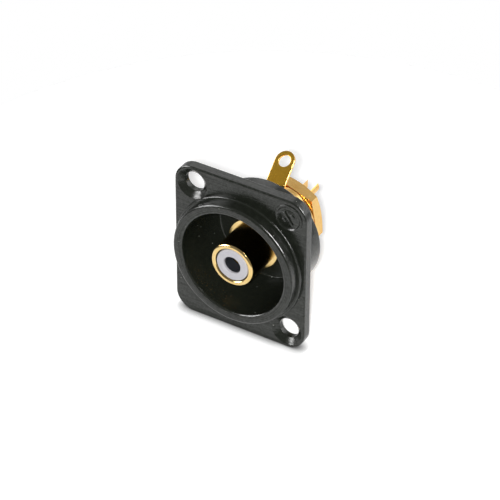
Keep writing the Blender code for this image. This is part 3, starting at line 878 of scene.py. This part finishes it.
def centre_contact():
    """Slotted spring tube for the plug's pin, with a forked solder tail."""
    flange_radius = CONTACT_RADIUS + CONTACT_FLANGE_RISE
    cup_radius = TAIL_RADIUS - TAIL_WALL
    cup_front = TAIL_BACK + TAIL_CUP_DEPTH
    corners = [
        (0.0, CONTACT_BORE_BACK, 0.0),
        (CONTACT_BORE_RADIUS, CONTACT_BORE_BACK, 0.0),
        (CONTACT_BORE_RADIUS, CONTACT_FRONT, CONTACT_TIP_ROUND),
        (CONTACT_RADIUS, CONTACT_FRONT, CONTACT_TIP_ROUND),
        (CONTACT_RADIUS, CONTACT_FLANGE_FRONT, 0.0),
        (flange_radius, CONTACT_FLANGE_FRONT, CONTACT_FLANGE_ROUND),
        (flange_radius, CONTACT_FLANGE_BACK, CONTACT_FLANGE_ROUND),
        (TAIL_RADIUS, CONTACT_FLANGE_BACK, 0.0),
        (TAIL_RADIUS, TAIL_BACK, TAIL_END_ROUND),
        (cup_radius, TAIL_BACK, TAIL_CUP_ROUND),
        (cup_radius, cup_front, TAIL_CUP_FLOOR_ROUND),
        (0.0, cup_front, 0.0),
    ]
    body = as_object("centre_contact_turned", turned(rounded(corners, steps=3), CONTACT_STEPS, closed=False))
    reach = 2 * CONTACT_RADIUS + CUT_MARGIN
    slot_depth = CONTACT_SLOT_LENGTH + CUT_MARGIN
    slot_centre = (0.0, 0.0, CONTACT_FRONT - (CONTACT_SLOT_LENGTH - CUT_MARGIN) / 2)
    fork_gap = 2 * (TAIL_RADIUS - TAIL_PRONG_THICKNESS)
    fork_size = (fork_gap, 2 * CONTACT_RADIUS, TAIL_PRONG_LENGTH + CUT_MARGIN)
    fork_centre = (0.0, 0.0, TAIL_BACK + (TAIL_PRONG_LENGTH - CUT_MARGIN) / 2)
    carve(
        body,
        [
            ("DIFFERENCE", box((reach, CONTACT_SLOT_WIDTH, slot_depth), slot_centre)),
            ("DIFFERENCE", box((CONTACT_SLOT_WIDTH, reach, slot_depth), slot_centre)),
            ("DIFFERENCE", box(fork_size, fork_centre)),
        ],
    )
    finish_piece(body, GOLD_CONTACT, "centre_contact")


def bend_lug(form, start, neutral, length):
    """Bend the flat blank beyond a line, back from its own plane, over a length of it."""
    for step in range(BEND_STEPS + 1):
        parts = form.verts[:] + form.edges[:] + form.faces[:]
        line = start + length * step / BEND_STEPS
        bmesh.ops.bisect_plane(form, geom=parts, plane_co=(0.0, line, 0.0), plane_no=(0.0, 1.0, 0.0))
    for vertex in form.verts:
        beyond = vertex.co.y - start
        if beyond <= 0.0:
            continue
        angle = min(beyond, length) / neutral
        straight = max(beyond - length, 0.0)
        radius = neutral + vertex.co.z
        vertex.co.y = start + radius * math.sin(angle) + straight * math.cos(angle)
        vertex.co.z = radius * math.cos(angle) - neutral - straight * math.sin(angle)


def ground_tag():
    """Stamped ring with a solder lug bent up and back from its edge."""
    half_width = TAG_LUG_WIDTH / 2
    bend_start = math.sqrt(TAG_RING_RADIUS**2 - half_width**2)
    neutral = TAG_BEND_RADIUS + TAG_THICKNESS / 2
    bend_length = neutral * TAG_LUG_LEAN
    hole_y = bend_start + bend_length + TAG_HOLE_FROM_BEND
    edge_angle = math.acos(half_width / TAG_RING_RADIUS)
    ring = arc(TAG_RING_RADIUS, math.pi - edge_angle, 2 * math.pi + edge_angle, TAG_RING_STEPS)
    end = arc(half_width, 0.0, math.pi, LUG_END_STEPS, (0.0, hole_y))
    bore = arc(CLEAR_HOLE_RADIUS, 0.0, 2 * math.pi, TURNED_STEPS)[:-1]
    hole = arc(TAG_HOLE_RADIUS, 0.0, 2 * math.pi, LUG_HOLE_STEPS, (0.0, hole_y))[:-1]
    form = slab([ring + end, bore, hole], -TAG_THICKNESS / 2, TAG_THICKNESS / 2)
    merge_flat_faces(form)
    round_rims(form, TAG_EDGE_ROUND, 3)
    # The cut edges are paler than the rolled faces.
    for face in form.faces:
        face.material_index = 1 if abs(face.normal.z) < 0.9 else 0
    bend_lug(form, bend_start, neutral, bend_length)
    form.transform(Matrix.Rotation(TAG_LUG_ANGLE - math.pi / 2, 4, "Z"))
    bmesh.ops.translate(form, vec=(0.0, 0.0, TAG_FRONT - TAG_THICKNESS / 2), verts=form.verts)
    obj = as_object("ground_tag_stamped", form)
    finish_piece(obj, GOLD_SHEET, "ground_tag")
    obj.data.materials.append(GOLD_HARDWARE)


def flat_washer():
    """Thick plain washer between the tag and the nut."""
    corners = [
        (CLEAR_HOLE_RADIUS, WASHER_FRONT, WASHER_BORE_ROUND),
        (WASHER_RADIUS, WASHER_FRONT, WASHER_EDGE_ROUND),
        (WASHER_RADIUS, WASHER_BACK, WASHER_EDGE_ROUND),
        (CLEAR_HOLE_RADIUS, WASHER_BACK, WASHER_BORE_ROUND),
    ]
    obj = as_object("flat_washer_turned", turned(rounded(corners), TURNED_STEPS))
    finish_piece(obj, GOLD_HARDWARE, "flat_washer")


def hex_nut():
    """Thin hex nut, flat on the washer and chamfered behind."""
    corner_radius = NUT_FLAT_RADIUS / math.cos(math.pi / 6)
    outline = []
    for index in range(6):
        angle = NUT_FLAT_ANGLE + math.pi / 6 + index * math.pi / 3
        outline.append((corner_radius * math.cos(angle), corner_radius * math.sin(angle)))
    blank = slab([outline], NUT_BACK, NUT_FRONT)
    merge_flat_faces(blank)
    reach = corner_radius + NUT_CONE_MARGIN
    face_radius = NUT_FLAT_RADIUS - NUT_CHAMFER_INSIDE_FLATS
    slope = math.tan(NUT_CHAMFER_ANGLE)
    cone = [
        (0.0, NUT_FRONT + CUT_MARGIN),
        (reach, NUT_FRONT + CUT_MARGIN),
        (reach, NUT_BACK + (reach - face_radius) * slope),
        (0.0, NUT_BACK - face_radius * slope),
    ]
    flare = CLEAR_HOLE_RADIUS + NUT_BORE_CHAMFER + CUT_MARGIN
    bore = [
        (0.0, NUT_FRONT + CUT_MARGIN),
        (flare, NUT_FRONT + CUT_MARGIN),
        (CLEAR_HOLE_RADIUS, NUT_FRONT - NUT_BORE_CHAMFER),
        (CLEAR_HOLE_RADIUS, NUT_BACK + NUT_BORE_CHAMFER),
        (flare, NUT_BACK - CUT_MARGIN),
        (0.0, NUT_BACK - CUT_MARGIN),
    ]
    body = as_object("hex_nut_machined", blank)
    carve(
        body,
        [
            ("INTERSECT", turned(cone, HOUSING_STEPS, closed=False)),
            ("DIFFERENCE", turned(bore, TURNED_STEPS, closed=False)),
        ],
    )
    finish_piece(body, GOLD_HARDWARE, "hex_nut", sharp=20.0)


def white_paper():
    """Matt white paper, lit up a little where it is seen, so that only the socket's shadow shows on it, with
    a painted contact shadow under its edges.
    """
    material = bpy.data.materials.new("matt_white_paper")
    material.use_nodes = True
    tree = material.node_tree
    tree.nodes.clear()
    # Painted contact shadow: an occlusion node darkens the paper's colour and its lift in the last
    # millimetres under an edge, which the lift alone would wash out.
    near = add_node(
        tree,
        "ShaderNodeAmbientOcclusion",
        {"samples": 12},
        {"Distance": CONTACT_SHADOW_REACH},
    )
    contact = add_node(tree, "ShaderNodeMath", {"operation": "POWER"}, {0: near.outputs["AO"], 1: 1.6})
    tint = add_node(
        tree,
        "ShaderNodeMix",
        {"data_type": "RGBA"},
        {"Factor": contact.outputs["Value"], "A": linear("#000000"), "B": linear("#dcdcdc")},
    )
    paper = add_node(tree, "ShaderNodeBsdfDiffuse", inputs={"Color": tint.outputs["Result"]})
    ray = add_node(tree, "ShaderNodeLightPath")
    shown = ray.outputs["Is Camera Ray"]
    for kind in ("Is Glossy Ray", "Is Transmission Ray"):
        either = add_node(tree, "ShaderNodeMath", {"operation": "MAXIMUM"}, {0: shown, 1: ray.outputs[kind]})
        shown = either.outputs["Value"]
    lift = add_node(tree, "ShaderNodeMath", {"operation": "MULTIPLY"}, {0: shown, 1: 0.42})
    dimmed = add_node(
        tree,
        "ShaderNodeMath",
        {"operation": "MULTIPLY"},
        {0: lift.outputs["Value"], 1: contact.outputs["Value"]},
    )
    glow = add_node(
        tree,
        "ShaderNodeEmission",
        inputs={"Color": WHITE, "Strength": dimmed.outputs["Value"]},
    )
    both = add_node(
        tree,
        "ShaderNodeAddShader",
        inputs={0: paper.outputs["BSDF"], 1: glow.outputs["Emission"]},
    )
    add_node(tree, "ShaderNodeOutputMaterial", inputs={"Surface": both.outputs["Shader"]})
    return material


def backdrop_floor():
    """White table under the socket, which keeps its shadow."""
    form = bmesh.new()
    bmesh.ops.create_circle(form, cap_ends=True, segments=96, radius=TABLE_RADIUS)
    floor = as_object("white_table", form)
    floor.location = (0.0, TABLE_SET_BACK, -FLANGE_HEIGHT / 2)
    floor.data.materials.append(white_paper())


def studio_world():
    """Pale room: white for the camera, brightest low behind the socket and dim above its front."""
    world = bpy.data.worlds.new("pale_studio")
    bpy.context.scene.world = world
    world.use_nodes = True
    tree = world.node_tree
    tree.nodes.clear()
    way = add_node(tree, "ShaderNodeTexCoord").outputs["Generated"]
    towards = add_node(
        tree,
        "ShaderNodeVectorMath",
        {"operation": "DOT_PRODUCT"},
        {0: way, 1: (0.25, 0.90, -0.35)},
    )
    room = add_node(
        tree,
        "ShaderNodeMapRange",
        inputs={
            "Value": towards.outputs["Value"],
            "From Min": -0.5,
            "From Max": 0.9,
            "To Min": 0.2,
            "To Max": 0.8,
        },
    )
    ray = add_node(tree, "ShaderNodeLightPath")
    shown = add_node(
        tree,
        "ShaderNodeMath",
        {"operation": "MAXIMUM"},
        {0: ray.outputs["Is Camera Ray"], 1: room.outputs["Result"]},
    )
    light = add_node(
        tree,
        "ShaderNodeBackground",
        inputs={"Color": WHITE, "Strength": shown.outputs["Value"]},
    )
    add_node(tree, "ShaderNodeOutputWorld", inputs={"Surface": light.outputs["Background"]})


def soft_box(name, direction, distance, width, height, strength, fills=True, shines=True, roll=0.0):
    """A lamp that points at the socket. It may only fill, or only give the edges their shine."""
    lamp = bpy.data.lights.new(name, "AREA")
    lamp.shape = "RECTANGLE"
    lamp.size = width
    lamp.size_y = height
    lamp.energy = strength * math.pi * width * height
    obj = bpy.data.objects.new(name, lamp)
    bpy.context.scene.collection.objects.link(obj)
    way = Vector(direction).normalized()
    obj.location = way * distance
    obj.rotation_euler = (way.to_track_quat("Z", "Y") @ Quaternion((0.0, 0.0, 1.0), roll)).to_euler()
    obj.visible_camera = False
    obj.visible_diffuse = fills
    obj.visible_glossy = shines


def studio_lamps():
    """A small hard lamp beside the camera, which nothing reflects, and the boxes that the edges reflect."""
    soft_box(
        "camera_side_lamp",
        direction=(0.389, -0.697, 0.602),
        distance=0.43,
        width=0.018,
        height=0.018,
        strength=2100.0,
        shines=False,
    )
    # Behind: a weak fill from the left, and on the right a box that the flange and the gold reflect.
    soft_box(
        "rear_left_box",
        direction=(-0.41, 0.70, 0.58),
        distance=0.5,
        width=0.26,
        height=0.26,
        strength=0.8,
    )
    soft_box(
        "rear_right_box",
        direction=(0.61, 0.68, 0.40),
        distance=0.5,
        width=0.14,
        height=0.44,
        strength=2.0,
        fills=False,
        roll=math.radians(-26.0),
    )
    # At the sides: strips that draw the thin bright lines along the collar, the mouth and the rim.
    soft_box(
        "left_strip",
        direction=(-0.85, -0.32, 0.41),
        distance=0.5,
        width=0.48,
        height=0.24,
        strength=12.5,
        fills=False,
    )
    soft_box(
        "right_strip",
        direction=(0.80, 0.12, 0.58),
        distance=0.5,
        width=0.18,
        height=0.34,
        strength=38.0,
        fills=False,
    )


def photograph_camera():
    """Camera at the photograph's angle, distance and framing."""
    back = Vector(
        (
            math.sin(CAMERA_AZIMUTH) * math.cos(CAMERA_ELEVATION),
            -math.cos(CAMERA_AZIMUTH) * math.cos(CAMERA_ELEVATION),
            math.sin(CAMERA_ELEVATION),
        )
    )
    level = Vector((math.cos(CAMERA_AZIMUTH), math.sin(CAMERA_AZIMUTH), 0.0))
    upright = back.cross(level)
    right = level * math.cos(CAMERA_ROLL) + upright * math.sin(CAMERA_ROLL)
    up = upright * math.cos(CAMERA_ROLL) - level * math.sin(CAMERA_ROLL)
    lens = bpy.data.cameras.new("photograph_view")
    lens.lens = CAMERA_LENS
    lens.sensor_width = CAMERA_FILM_WIDTH
    lens.clip_start = 0.01
    lens.clip_end = 20.0
    camera = bpy.data.objects.new("photograph_view", lens)
    bpy.context.scene.collection.objects.link(camera)
    aim = Vector((0.0, -FLANGE_THICKNESS, 0.0)) + right * AIM_RIGHT + up * AIM_UP
    place = aim + back * CAMERA_DISTANCE
    camera.matrix_world = Matrix(
        (
            (right.x, up.x, back.x, place.x),
            (right.y, up.y, back.y, place.y),
            (right.z, up.z, back.z, place.z),
            (0.0, 0.0, 0.0, 1.0),
        )
    )
    bpy.context.scene.camera = camera


NYLON = black_nylon()
GOLD_TURNED = gold_plate("gold_plate_on_turned_brass", "#ecd39b", "#d8b46a", 0.15, 0.004 * MM)
GOLD_CONTACT = gold_plate("gold_plate_on_contact", "#efc981", "#dba651", 0.22, 0.004 * MM)
GOLD_HARDWARE = gold_plate("gold_plate_on_nut_and_washer", "#efca84", "#d9a655", 0.22, 0.005 * MM)
GOLD_SHEET = gold_sheet()
INSULATOR = insulator_plastic("milky_insulator_plastic", "#b8b6ba", "#a7a6ab", 0.34)
# A dark grey for the deep bore of the front insulator: painted shade, not the plastic's own colour.
PAINTED_BORE_SHADE = insulator_plastic("painted_shade_of_insulator_bore", "#2e3035", "#212327", 0.4)
REAR_INSULATOR = insulator_plastic("grey_insulator_plastic", "#9a9a9c", "#858588", 0.45)

photograph_camera()
backdrop_floor()
studio_world()
studio_lamps()

housing()
jack_shell()
front_insulator()
centre_contact()
rear_insulator()
ground_tag()
flat_washer()
hex_nut()

bpy.context.scene.view_settings.view_transform = "Standard"
bpy.context.view_layer.update()
